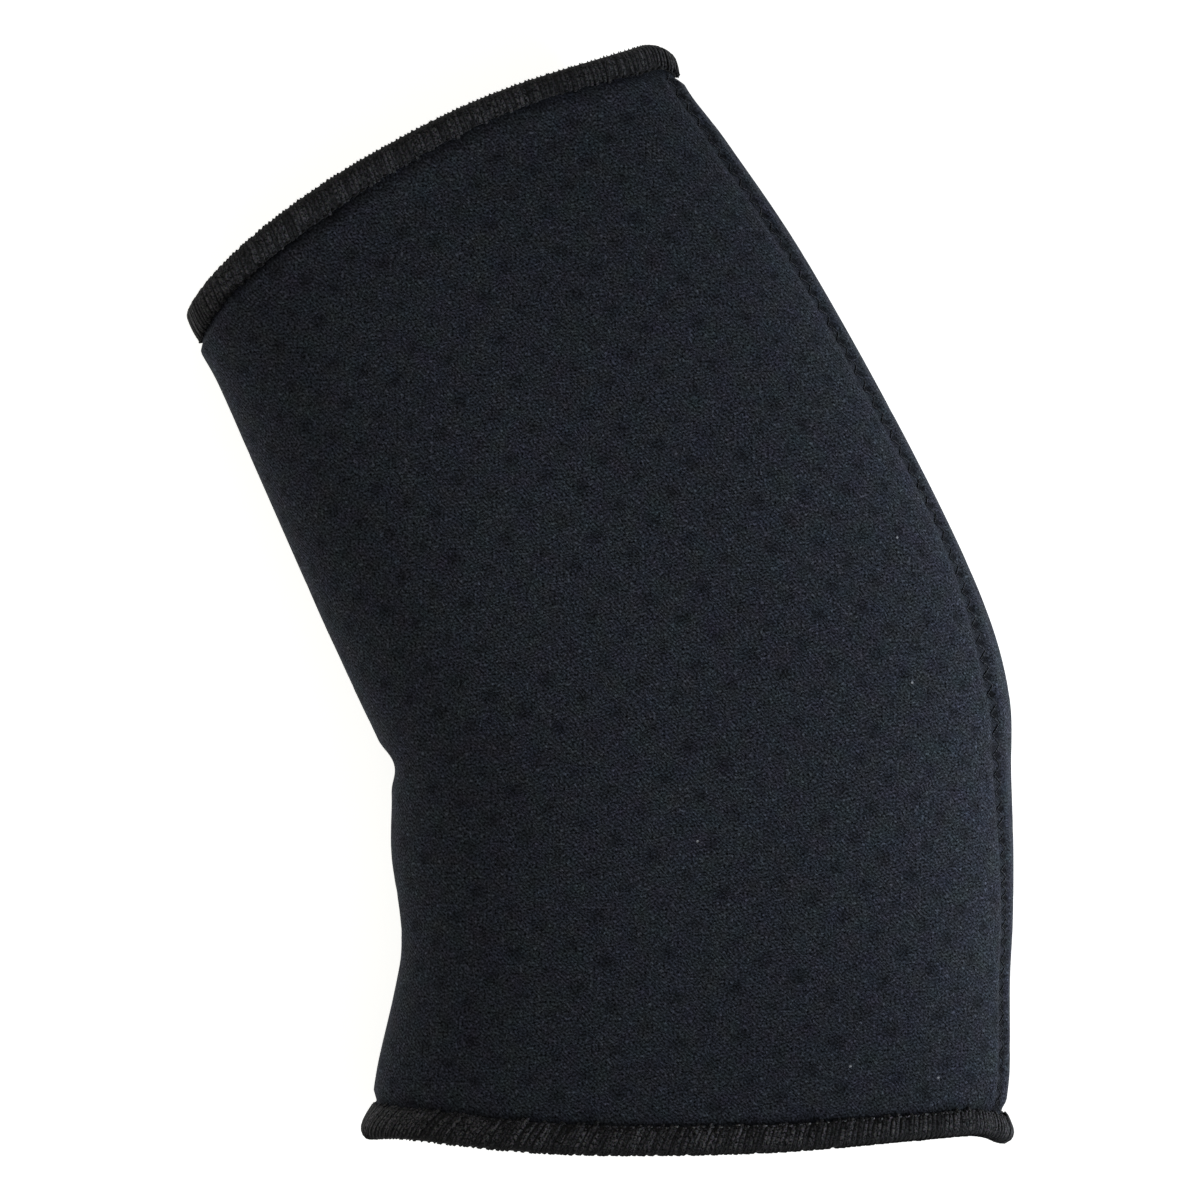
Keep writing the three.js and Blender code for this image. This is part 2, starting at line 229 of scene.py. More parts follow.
# Strands of the hems, needle stitches beside them, and stitches of the seam
STRAND_FLATNESS = 0.36  # height of a strand, as a share of its width
TIP_SHARE = 0.7  # width of a strand's tip at the needle line, as a share of its width
PAIRING = 0.05  # how far the two strands of a stitch move together, as a share of their step
TUCK_SHARE = 0.5  # how deep a strand's end goes into the cloth, as a share of its radius
STRAND_INSET = 0.1 * MM  # from the needle line to a strand's tip
NEEDLE_INSET = 0.3 * MM  # and to the needle stitches
NEEDLE_STEPS = 7
NEEDLE_LENGTH = 0.5  # of a needle stitch, as a share of its step
NEEDLE_DIP = 2.2  # how deep its ends go, in needle radii
SEAM_STEPS = 9
SEAM_RISE = 0.1 * MM  # how far a stitch bows up
GROOVE_WIDTH = 3.3 * MM  # width of the floor of the seam's groove

# How unevenly the threads lie
PLACE_JITTER = 0.04  # as a share of their step
LEAN_JITTER = np.radians(1.5)
TIP_JITTER = 0.3 * MM
LIFT_JITTER = 0.03 * MM
RIM_JITTER = 0.02 * MM
RADIUS_JITTER = 0.07  # as a share of the radius
NEEDLE_JITTER = 0.12 * MM
SEAM_JITTER = 0.04 * MM
HEM_SEED = 11
SEAM_SEED = 5

# Slow swells of the cloth: size of each, and of its wander
SWELLS = MM * np.array([(9, 23), (11, 17)])

# The cloth beside a hem gets painted shade, as in a crease, over this share of the length in which it
# swells back
CREASE_SHARE = 0.6
CREASE_SHADES = (0.5, 0.6)  # strength of that painted shade by the upper-arm hem, by the forearm hem

# White paper, and two soft lights with grids
FLOOR_REACH = 8.0
PAPER_MOTTLE = 40 * MM
PAPER_SHADE = 0.985
KEY_LIGHT = {"place": (0.88, -0.26, 0.28), "aim": (0.08, -0.022, OUTLINE_HEIGHT), "size": 0.2,
             "fan": np.radians(17), "colour": (0.94, 1.0, 1.07)}
FILL_LIGHT = {"place": (-0.85, 0.1, 0.5), "aim": (-0.06, 0.02, OUTLINE_HEIGHT), "size": 0.5,
              "fan": np.radians(40), "colour": (1.07, 1.0, 0.88)}


def linear(hex_colour):
    """An sRGB hex colour as linear red, green and blue."""
    srgb = np.array([int(hex_colour[i:i + 2], 16) for i in (1, 3, 5)]) / 255
    bent = ((srgb + 0.055) / 1.055) ** 2.4
    return tuple(float(part) for part in np.where(srgb <= 0.04045, srgb / 12.92, bent))


def length_property(name, description, millimetres):
    """A length for the sidebar, given in millimetres."""
    return FloatProperty(name=name, description=description, default=millimetres * MM,
                         min=0.0, precision=5, subtype="DISTANCE", unit="LENGTH")


def colour_property(name, description, hex_colour):
    """A colour for the sidebar, given as sRGB hex."""
    return FloatVectorProperty(name=name, description=description, default=linear(hex_colour),
                               size=3, min=0.0, max=1.0, subtype="COLOR")


class SleeveSizes(bpy.types.PropertyGroup):
    """Sizes of the cloth, its perforations and its stitching."""

    wall: length_property("Wall", "Thickness of the neoprene", 3.0)
    wall_under_hem: length_property("Wall under hem", "Neoprene pinched by the thread", 2.0)
    clearance: length_property("Clearance", "Gap between neoprene and thread", 0.3)
    hem_roll: length_property("Hem roll", "How far the needle line is pulled in", 0.7)
    thread_depth: length_property("Thread depth", "Depth of thread wound on the edge", 1.0)
    pinch_reach: length_property("Pinch reach", "Cloth swells back over this length", 2.6)
    lump: length_property("Seam lump", "Extra thread where a hem crosses the seam", 0.7)
    stitch: length_property("Overlock stitch", "Each stitch winds two strands", 1.95)
    strand_radius: length_property("Strand radius", "Half the width of a strand", 0.49)
    needle_radius: length_property("Needle radius", "Half the needle thread's thickness", 0.27)
    zigzag_pitch: length_property("Zigzag pitch", "From tooth to tooth of the seam", 3.3)
    zigzag_width: length_property("Zigzag width", "From side to side of the seam", 3.0)
    zigzag_radius: length_property("Zigzag radius", "Half the seam thread's thickness", 0.13)
    needle_dent: length_property("Needle dent", "Half the width of a dent by the seam", 0.8)
    groove_depth: length_property("Groove depth", "How deep the seam is pulled in", 0.7)
    hole_pitch: length_property("Perforation pitch", "From row to row of perforations", 8.3)
    hole_radius: length_property("Perforation radius", "Half the width of a dimple", 1.9)
    hole_depth: length_property("Perforation depth", "Depth of a dimple", 0.25)
    loop: length_property("Knit loop", "From loop to loop of the jersey", 0.66)
    ripple: length_property("Ripple", "Gentle unevenness of the cloth", 0.25)


class SleeveColours(bpy.types.PropertyGroup):
    """Colours of the cloth, the threads and the floor."""

    knit: colour_property("Knit", "The jersey's own colour", "#26292f")
    knit_shadow: colour_property("Knit shadow", "Between the loops", "#050608")
    # Painted shade: this colour darkens the dimple over each hole, the crease beside each hem and the
    # gathered band along the seam
    hole: colour_property("Perforation", "Cloth sunk over a hole in the foam", "#0a0b0d")
    # Painted shade in the dents that the seam pulls into the cloth
    needle_dent: colour_property("Needle dent", "Cloth pulled in by the seam", "#020203")
    lint: colour_property("Lint", "Stray pale fibres", "#8d9094")
    hem: colour_property("Hem thread", "Overlock thread", "#242527")
    seam: colour_property("Seam thread", "Zigzag thread", "#24272c")
    floor: colour_property("Floor", "Matt white paper", "#f4f4f2")


class StageSettings(bpy.types.PropertyGroup):
    """Camera height and light strengths."""

    camera_height: length_property("Camera height", "Above the floor", 1100.0)
    framed_width: length_property("Framed width", "Width of the picture at the outline", 264.0)
    key: FloatProperty(name="Key light", description="From the right", default=0.2, min=0.0,
                       unit="POWER")
    fill: FloatProperty(name="Fill light", description="From the left", default=0.165, min=0.0,
                        unit="POWER")
    sky: FloatProperty(name="Sky", description="Even light all round", default=0.3, min=0.0)
    glow: FloatProperty(name="Floor glow", description="Light from below the paper", default=0.83,
                        min=0.0)


def smoothstep(value, low, high):
    """0 below low, 1 above high, and a smooth S between them."""
    share = np.clip((value - low) / (high - low), 0, 1)
    return share * share * (3 - 2 * share)


def hump(distance, reach):
    """1 at no distance, falling as a squared cosine to 0 at the reach."""
    return np.cos(np.clip(distance / reach, -1, 1) * QUARTER) ** 2


def unit(vectors):
    """The vectors scaled to length 1."""
    return vectors / np.linalg.norm(vectors, axis=-1, keepdims=True)


def direction(turn):
    """The flat direction at a turn from +X."""
    return np.array([np.cos(turn), np.sin(turn)])


def spread(count):
    """Even steps from -0.5 to 0.5."""
    return np.linspace(-0.5, 0.5, count)


def section_rows(place):
    """The table at a place between its rows: a cubic whose slope at a row is half the step between
    the rows on either side."""
    last = len(SECTIONS) - 1
    row = np.clip(np.floor(place).astype(int), 0, last - 1)
    before, here, there, after = (SECTIONS[np.clip(row + i, 0, last)] for i in (-1, 0, 1, 2))
    share = (place - row)[..., None]
    slope_here = (there - before) / 2
    slope_there = (after - here) / 2
    rise = there - here
    square = 3 * rise - 2 * slope_here - slope_there
    cube = slope_here + slope_there - 2 * rise
    return here + share * (slope_here + share * (square + share * cube))


def measure_midline():
    """Places in the table, a little past both ends, and their distances from the upper-arm rim."""
    last = len(SECTIONS) - 1
    places = np.linspace(-MIDLINE_OVERRUN, last + MIDLINE_OVERRUN, MIDLINE_SAMPLES + 1)
    rows = section_rows(places)
    middle = (rows[:, 0:2] + rows[:, 2:4]) / 2
    steps = np.linalg.norm(np.diff(middle, axis=0), axis=1)
    distances = np.concatenate([[0.0], np.cumsum(steps)])
    distances = distances - np.interp(0, places, distances)
    return places, distances, np.interp(last, places, distances)


PLACES, DISTANCES, LENGTH = measure_midline()


def section_at(along):
    """Middle, direction across, half width and height of the section at a distance."""
    rows = section_rows(np.interp(along, DISTANCES, PLACES))
    inner, outer = rows[..., 0:2], rows[..., 2:4]
    half = (outer - inner) / 2
    return (inner + outer) / 2, unit(half), np.linalg.norm(half, axis=-1), rows[..., 4]


def section_outline(angle, half_width, height):
    """Across and up on a section: above the widest line an arch, whose across and up are powers of the
    cosine and the sine, and below it two quarter ellipses that run into a flat on the floor."""
    turn = np.mod(angle, FULL)
    widest = WIDEST_SHARE * height
    flat = FLAT_SHARE * half_width
    corner = np.minimum(turn - HALF, FULL - turn) / CORNER
    bend = np.clip(corner, 0, 1) * QUARTER
    side = np.where(turn < HALF + QUARTER, -1.0, 1.0)
    kinds = [turn <= HALF, corner >= 1]
    power = 2 / ARCH_POWER
    across_top = half_width * np.sign(np.cos(turn)) * np.abs(np.cos(turn)) ** power
    across_flat = flat * (turn - HALF - QUARTER) / (QUARTER - CORNER)
    across_corner = side * (flat + (half_width - flat) * np.cos(bend))
    up_top = widest + (height - widest) * np.abs(np.sin(turn)) ** power
    up_corner = widest * (1 - np.sin(bend))
    across = np.select(kinds, [across_top, across_flat], across_corner)
    up = np.select(kinds, [up_top, np.zeros_like(up_top)], up_corner)
    return across, up


def turn_from(angle, other):
    """The turn from one angle to another, the short way round."""
    return np.mod(other - angle + HALF, FULL) - HALF


def drift(along, angle):
    """How far the cloth is turned round the arm by the wandering seam."""
    wander = np.radians(np.interp(along, SEAM_PATH[:, 0] * MM, SEAM_PATH[:, 1])) - SEAM_ANGLE
    return wander * hump(turn_from(SEAM_ANGLE, angle), DRIFT_REACH)


def rim_lean(along, angle, share):
    """How far a point stands out towards the forearm: a bow, fullest in the middle of the cloth and
    growing with the square of the distance from the elbow, and humps at the corners of the rims."""
    run = 2 * along / LENGTH - 1
    bow = np.where(run > 0, FOREARM_BOW, -UPPER_ARM_BOW) * run ** 2
    lean = bow * (1 - np.abs(share) ** BOW_POWER)
    for corners, sign, from_rim in ((FOREARM_CORNERS, 1, LENGTH - along), (UPPER_ARM_CORNERS, -1, along)):
        near = sign * (1 - smoothstep(from_rim, 0, CORNER_FADE))
        for middle, reach, out in corners:
            round_it = hump(turn_from(np.radians(middle), angle), np.radians(reach))
            lean = lean + near * out * MM * round_it
    return lean


def on_plan(along, across, lean):
    """A point across a section, moved along the sleeve by its lean."""
    middle, sideways, _, _ = section_at(along)
    axis = np.stack([-sideways[..., 1], sideways[..., 0]], axis=-1)
    return middle + sideways * across[..., None] + axis * lean[..., None]


def skin(along, angle):
    """The outermost skin before pinches, grooves and folds: a section's outline, turned by the drift
    and set across the bent middle line."""
    along, angle = np.broadcast_arrays(along, angle)
    turned = angle + drift(along, angle)
    _, _, half_width, height = section_at(along)
    across, up = section_outline(turned, half_width, height)
    plan = on_plan(along, across, rim_lean(along, turned, across / half_width))
    return np.concatenate([plan, up[..., None]], axis=-1)


def fold_depth(along, angle):
    """The depth of all folds: each is a hump along the sleeve times a hump round the section."""
    depth = np.zeros(np.broadcast_shapes(np.shape(along), np.shape(angle)))
    for place, half_length, middle, reach, deep in FOLDS:
        lengthwise = hump(along - place * MM, half_length * MM)
        depth = depth + deep * MM * lengthwise * hump(angle - np.radians(middle), np.radians(reach))
    return depth


def outward(along, angle):
    """The direction square to the skin: lengthwise slope crossed with the slope round the section."""
    lengthwise = skin(along + SLOPE_STEP, angle) - skin(along - SLOPE_STEP, angle)
    around = skin(along, angle + SLOPE_TURN) - skin(along, angle - SLOPE_TURN)
    return unit(np.cross(lengthwise, around))


def below(along, angle, depth):
    """A point at a depth under the folded skin, measured square to it."""
    along, angle, depth = np.broadcast_arrays(along, angle, depth)
    sunk = depth + fold_depth(along, angle)
    return skin(along, angle) - outward(along, angle) * sunk[..., None]


def measure_arc():
    """Angles round the middle section, the arc length up to each, and how far each lies across the
    flat cloth: the arc from the middle of the top, and underneath the same going back. Both lengths
    are shares of the half width."""
    angles = np.linspace(0, FULL, ARC_SAMPLES + 1)
    _, _, half_width, height = section_at(np.array(LENGTH / 2))
    across, up = section_outline(angles, half_width, height)
    arc = np.concatenate([[0.0], np.cumsum(np.hypot(np.diff(across), np.diff(up)))])
    over = np.interp(HALF, angles, arc)
    under = (arc - over) / (arc[-1] - over)
    cloth = np.where(angles <= HALF, over / 2 - arc, over * (under - 0.5))
    return angles, arc / half_width, cloth / half_width


ARC_ANGLES, ARC_SHARES, CLOTH_SHARES = measure_arc()


def angle_round(share):
    """The angle at a share of the way round the section, by arc length."""
    return np.interp(np.mod(share, 1) * ARC_SHARES[-1], ARC_SHARES, ARC_ANGLES)


def length_round(along):
    """The length once round the section at a distance."""
    return ARC_SHARES[-1] * section_at(np.asarray(along))[2]


def on_cloth(along, angle):
    """A point's place on the flat cloth: its plan with the curved sides rolled out."""
    along, angle = np.broadcast_arrays(along, angle)
    turned = np.mod(angle + drift(along, angle), FULL)
    _, _, half_width, _ = section_at(along)
    across, _ = section_outline(turned, half_width, half_width)
    rolled = half_width * np.interp(turned, ARC_ANGLES, CLOTH_SHARES)
    return on_plan(along, rolled, rim_lean(along, turned, across / half_width))


def hem_width(angle, is_forearm):
    """From the rim to the needle line: straight steps between the rows of the table."""
    degrees = np.degrees(np.mod(angle, FULL))
    upper_arm, forearm = (np.interp(degrees, HEM_WIDTHS[:, 0], HEM_WIDTHS[:, i]) for i in (1, 2))
    return MM * np.where(is_forearm, forearm, upper_arm)


def seam_start(sizes):
    """Where the seam's stitches start, just clear of the upper-arm hem."""
    return float(hem_width(SEAM_ANGLE, False)) + sizes.clearance


def by_seam(along, angle, sizes):
    """A point's place by the seam: how far along, counted from the first tooth towards the crook, and how
    far from the seam's middle, positive towards the crook."""
    along, angle = np.broadcast_arrays(along, angle)
    _, _, half_width, _ = section_at(along)
    arcs = [np.interp(np.mod(each + drift(along, each), FULL), ARC_ANGLES, ARC_SHARES)
            for each in (angle, np.full_like(angle, SEAM_ANGLE))]
    total = ARC_SHARES[-1]
    offset = half_width * (np.mod(arcs[0] - arcs[1] + total / 2, total) - total / 2)
    first = seam_start(sizes) + sizes.zigzag_pitch / 2
    return np.stack([along - first, offset], axis=-1)


def by_perforations(cloth, sizes):
    """A point's place in the drifting lattice of perforations, counted in steps along its two rows."""
    lattice = sizes.hole_pitch * ROW_SHARES * direction(ROW_TURNS)
    steps = (cloth - HOLE_ORIGIN) @ np.linalg.inv(lattice).T
    x, y = np.moveaxis(cloth / DRIFT_UNIT, -1, 0)
    return steps - np.stack([polyval2d(x, y, table) for table in HOLE_DRIFT], axis=-1)


def dimple(counts, sizes):
    """1 at a perforation's centre, 0 past its radius."""
    offset = np.linalg.norm(counts - np.round(counts), axis=-1)
    return hump(offset * sizes.hole_pitch, sizes.hole_radius)


def pinch(along, angle, reach, sizes):
    """1 under a hem, falling to 0 over a reach where the cloth is back at its own level."""
    from_rim = np.minimum(along, LENGTH - along)
    neck = hem_width(angle, along > LENGTH / 2) + sizes.clearance
    return 1 - smoothstep(from_rim, neck, neck + reach)


def groove(angle):
    """1 on the floor of the seam's groove, 0 outside it."""
    return 1 - smoothstep(np.abs(angle - SEAM_ANGLE), GROOVE_FLOOR, GROOVE_EDGE)


def hem_lump(angle, sizes):
    """Extra height of a hem beside the seam."""
    return sizes.lump * hump(turn_from(LUMP_ANGLE, angle), LUMP_REACH)


def unevenness(cloth):
    """Slow swells of the cloth from 0 to 1: a product of two sines whose phases wander."""
    x, y = cloth[..., 0], cloth[..., 1]
    (first, first_wander), (second, second_wander) = SWELLS
    swell = np.sin(x / first + 2 * np.sin(y / first_wander))
    swell = swell * np.sin(y / second + np.sin(x / second_wander))
    return 0.5 * (1 + swell)


def closed_quads(rows, columns):
    """Faces of a grid that closes on itself both ways."""
    row, column = np.meshgrid(np.arange(rows), np.arange(columns), indexing="ij")
    here = row * columns
    there = (row + 1) % rows * columns
    beside = (column + 1) % columns
    corners = [here + column, there + column, there + beside, here + beside]
    return np.stack(corners, axis=-1).reshape(-1, 4)


def tube_faces(tubes, rings, sides):
    """Quads round many tubes of rings, and a cap at each of their ends."""
    ring, side = np.meshgrid(np.arange(rings - 1), np.arange(sides), indexing="ij")
    here = ring * sides
    beside = (side + 1) % sides
    corners = [here + side, here + beside, here + sides + beside, here + sides + side]
    quads = np.stack(corners, axis=-1).reshape(1, -1, 4)
    caps = np.stack([np.arange(sides)[::-1], (rings - 1) * sides + np.arange(sides)])[None]
    start = np.arange(tubes)[:, None, None] * rings * sides
    return (start + quads).reshape(-1, 4), (start + caps).reshape(-1, sides)


def tubes_along(paths, normals, radius, flatness):
    """Rings round many paths: spokes turn from the normal towards the side of the path, and are
    shortened along the normal by the flatness."""
    tangents = unit(np.gradient(paths, axis=-2))
    sideways = unit(np.cross(tangents, normals))
    upright = flatness * np.cross(sideways, tangents)
    turns = np.linspace(0, FULL, THREAD_SIDES, endpoint=False)[:, None]
    spokes = np.cos(turns) * upright[..., None, :] + np.sin(turns) * sideways[..., None, :]
    return paths[..., None, :] + radius[..., None, None] * spokes


def lay_threads(along, angle, depth, radius, flatness=1.0):
    """Tubes whose paths lie at a depth under the skin."""
    along, angle, depth, radius = np.broadcast_arrays(along, angle, depth, radius)
    paths = below(along, angle, depth)
    return tubes_along(paths, outward(along, angle), radius, flatness)


def new_piece(name, vertices, faces, material, uv_maps, attributes):
    """A smooth mesh object at the origin, with its maps and attributes given for each vertex."""
    mesh = bpy.data.meshes.new(name)
    corners = [face for group in faces for face in group.tolist()]
    mesh.from_pydata(vertices.reshape(-1, 3).tolist(), [], corners)
    used = np.empty(len(mesh.loops), dtype=np.int32)
    mesh.loops.foreach_get("vertex_index", used)
    for map_name, values in uv_maps.items():
        layer = mesh.uv_layers.new(name=map_name)
        layer.data.foreach_set("uv", values.reshape(-1, 2)[used].astype(np.float32).ravel())
    for attribute_name, values in attributes.items():
        attribute = mesh.attributes.new(attribute_name, "FLOAT", "POINT")
        attribute.data.foreach_set("value", values.astype(np.float32).ravel())
    mesh.shade_smooth()
    mesh.materials.append(material)
    piece = bpy.data.objects.new(name, mesh)
    bpy.context.scene.collection.objects.link(piece)
    return piece


def join_threads(name, bundles, material, rng, core=None):
    """One mesh of bundles of tubes and an optional closed core, with a map of the length along each tube
    and the place across it from -1 to 1. A bundle is its rings, the range of its tubes' tones, and the
    share of the tone at each step along a tube."""
    start, vertices, faces, maps, tones = 0, [], [], [], []
    if core is not None:
        start = core[..., 0].size
        vertices = [core.reshape(-1, 3)]
        faces = [closed_quads(*core.shape[:2])]
        maps = [np.zeros((start, 2))]
        # Painted shade on the packed core
        tones = [np.full(start, CORE_SHADE)]
    for rings, tone_range, shares in bundles:
        tubes, steps, sides, _ = rings.shape
        quads, caps = tube_faces(tubes, steps, sides)
        faces += [quads + start, caps + start]
        lengths = np.linalg.norm(np.diff(rings.mean(axis=2), axis=1), axis=-1)
        run = np.concatenate([np.zeros((tubes, 1)), np.cumsum(lengths, axis=1)], axis=1)
        across = np.sin(np.linspace(0, FULL, sides, endpoint=False))
        maps.append(np.stack(np.broadcast_arrays(run[..., None], across), axis=-1).reshape(-1, 2))
        tone = rng.uniform(*tone_range, (tubes, 1)) * np.broadcast_to(shares, (tubes, steps))
        tones.append(np.repeat(tone.ravel(), sides))
        vertices.append(rings.reshape(-1, 3))
        start += tubes * steps * sides
    return new_piece(name, np.concatenate(vertices), faces, material,
                     {"thread": np.concatenate(maps)}, {"tone": np.concatenate(tones)})


def add_node(tree, kind, inputs=None, **settings):
    """Adds a node with its settings. An input, by name or number, takes a plain value, an output, or the
    first output of a node."""
    made = tree.nodes.new("ShaderNode" + kind)
    for name, value in settings.items():
        setattr(made, name, value)
    for socket, value in (inputs or {}).items():
        source = value.outputs[0] if isinstance(value, bpy.types.Node) else value
        if isinstance(source, bpy.types.NodeSocket):
            tree.links.new(source, made.inputs[socket])
        else:
            made.inputs[socket].default_value = source
    return made


def new_material(name):
    """An empty node material, and the function that adds a node to it."""
    material = bpy.data.materials.new(name)
    material.use_nodes = True
    material.node_tree.nodes.clear()
    return material, partial(add_node, material.node_tree)


def rgba(colour, gain=1.0):
    """A colour, made lighter or darker, with full opacity."""
    return (*(gain * part for part in colour), 1.0)


def knit_relief(add, cloth, sizes):
    """Height of the jersey's loops from 0 to 1, and their lightness about a mean of 1. Ridges of loop
    legs are crossed by courses, both wander, and the fibres give a fine grain."""
    loose = cloth
    for size, far in KNIT_WANDERS:
        wander = add("TexNoise", {"Vector": cloth, "Scale": 1 / size, "Detail": 1.0})
        loose = add("VectorMath", {0: wander.outputs["Color"], 1: (far, far, 0.0), 2: loose},
                    operation="MULTIPLY_ADD")
    waves = []
    for turn in (LEG_TURN, COURSE_TURN):
        square = direction(turn + QUARTER) * FULL / sizes.loop
        phase = add("VectorMath", {0: loose, 1: (*square, 0.0)}, operation="DOT_PRODUCT")
        waves.append(add("Math", {0: phase.outputs["Value"]}, operation="COSINE"))
    both = add("Math", {0: waves[1], 1: COURSE_SHARE, 2: waves[0]}, operation="MULTIPLY_ADD")
    most = 1 + COURSE_SHARE
    relief = add("MapRange", {"Value": both, "From Min": -most, "From Max": most})
    grain = add("TexNoise", {"Vector": cloth, "Scale": 1 / GRAIN_SIZE, "Detail": 2.0})
    grain = add("MapRange", {"Value": grain, "From Min": NOISE_LOW, "From Max": NOISE_HIGH,
                             "To Min": GRAIN_LIGHTS[0], "To Max": GRAIN_LIGHTS[1]})
    ridges = add("MapRange", {"Value": relief, "To Min": RIDGE_LIGHTS[0], "To Max": RIDGE_LIGHTS[1]})
    light = add("Math", {0: grain, 1: ridges}, operation="MULTIPLY")
    fibres = add("TexNoise", {"Vector": cloth, "Scale": 1 / FIBRE_SIZE, "Detail": 0.0})
    fibres = add("MapRange", {"Value": fibres, "From Min": FIBRE_EDGES[0], "From Max": FIBRE_EDGES[1],
                              "To Max": FIBRE_LIGHT})
    return relief, add("Math", {0: light, 1: fibres})


def perforation_spots(add, sizes):
    """Painted shade over the dimple at each perforation: 1 in the middle of a perforation, 0 outside,
    weaker at some than at others: the distance to the nearest point of the lattice, uneven at the edge."""
    counts = add("UVMap", uv_map="perforations")
    cell = add("VectorMath", {0: counts, 1: (0.5, 0.5, 0.0)})
    number = add("VectorMath", {0: cell}, operation="FLOOR")
    inside = add("VectorMath", {0: cell, 1: number}, operation="SUBTRACT")
    uneven = add("TexNoise", {"Vector": counts, "Scale": 8.0, "Detail": 3.0})
    inside = add("VectorMath", {0: uneven.outputs["Color"], 1: (SPOT_SHIFT, SPOT_SHIFT, 0.0), 2: inside},
                 operation="MULTIPLY_ADD")
    middle = (1 + SPOT_SHIFT) / 2
    offset = add("VectorMath", {0: inside, 1: (middle, middle, 0.0)}, operation="DISTANCE")
    edge = sizes.hole_radius / sizes.hole_pitch
    spot = add("MapRange", {"Value": offset.outputs["Value"], "From Min": SPOT_EDGES[0] * edge,
                            "From Max": SPOT_EDGES[1] * edge}, interpolation_type="SMOOTHSTEP")
    chance = add("TexWhiteNoise", {"Vector": number})
    chance = add("MapRange", {"Value": chance, "To Min": SPOT_SHADES[0], "To Max": SPOT_SHADES[1]})
    return add("Math", {0: spot, 1: chance}, operation="MULTIPLY")


def seam_shades(add, sizes):
    """The painted shade of the seam: 1 in the middle of each dent that a tooth of the seam pulls into the
    cloth, 0 outside, and the painted shade of the gathered band. A dent is the distance to the nearest
    tooth along the seam and to the seam's middle across it, which counts less because the thread draws the
    dent out that way."""
    seam = add("UVMap", uv_map="seam")
    place = add("SeparateXYZ", {"Vector": seam})
    away = add("Math", {0: place.outputs["Y"]}, operation="ABSOLUTE")
    wide = sizes.zigzag_width
    # Painted shade of the band in the seam's groove, broken up by gathers
    band = add("MapRange", {"Value": away, "From Min": BAND_EDGES[0] * wide,
                            "From Max": BAND_EDGES[1] * wide}, interpolation_type="SMOOTHSTEP")
    gathers = add("VectorMath", {0: seam, 1: (*(1 / GATHER_SIZES), 0.0)}, operation="MULTIPLY")
    gathers = add("TexNoise", {"Vector": gathers, "Scale": 1.0, "Detail": 2.0})
    gathers = add("MapRange", {"Value": gathers, "From Min": NOISE_LOW, "From Max": NOISE_HIGH,
                               "To Min": SEAM_SHADES[0], "To Max": SEAM_SHADES[1]})
    band = add("Math", {0: band, 1: gathers}, operation="MULTIPLY")
    tooth = add("Math", {0: place.outputs["X"], 1: sizes.zigzag_pitch / 2}, operation="PINGPONG")
    across = add("Math", {0: away, 1: DENT_SQUEEZE}, operation="MULTIPLY")
    offset = add("CombineXYZ", {"X": tooth, "Y": across})
    offset = add("VectorMath", {0: offset}, operation="LENGTH")
    edges = [share * sizes.needle_dent for share in DENT_EDGES]
    spot = add("MapRange", {"Value": offset.outputs["Value"], "From Min": edges[0], "From Max": edges[1]},
               interpolation_type="SMOOTHSTEP")
    number = add("Math", {0: place.outputs["X"], 1: 1 / sizes.zigzag_pitch}, operation="MULTIPLY")
    number = add("Math", {0: number}, operation="ROUND")
    chance = add("TexWhiteNoise", {"W": number}, noise_dimensions="1D")
    chance = add("MapRange", {"Value": chance, "To Min": WEAKEST_DENT})
    return add("Math", {0: spot, 1: chance}, operation="MULTIPLY"), band


def lint_specks(add, cloth):
    """1 on a speck of lint, 0 elsewhere: the distance to the nearest of a few places."""
    nearest = 1.0
    for place in LINT_PLACES:
        offset = add("VectorMath", {0: cloth, 1: (*place, 0.0)}, operation="DISTANCE")
        nearest = add("Math", {0: offset.outputs["Value"], 1: nearest}, operation="MINIMUM")
    return add("MapRange", {"Value": nearest, "From Min": LINT_EDGES[0] * LINT_RADIUS,
                            "From Max": LINT_EDGES[1] * LINT_RADIUS})


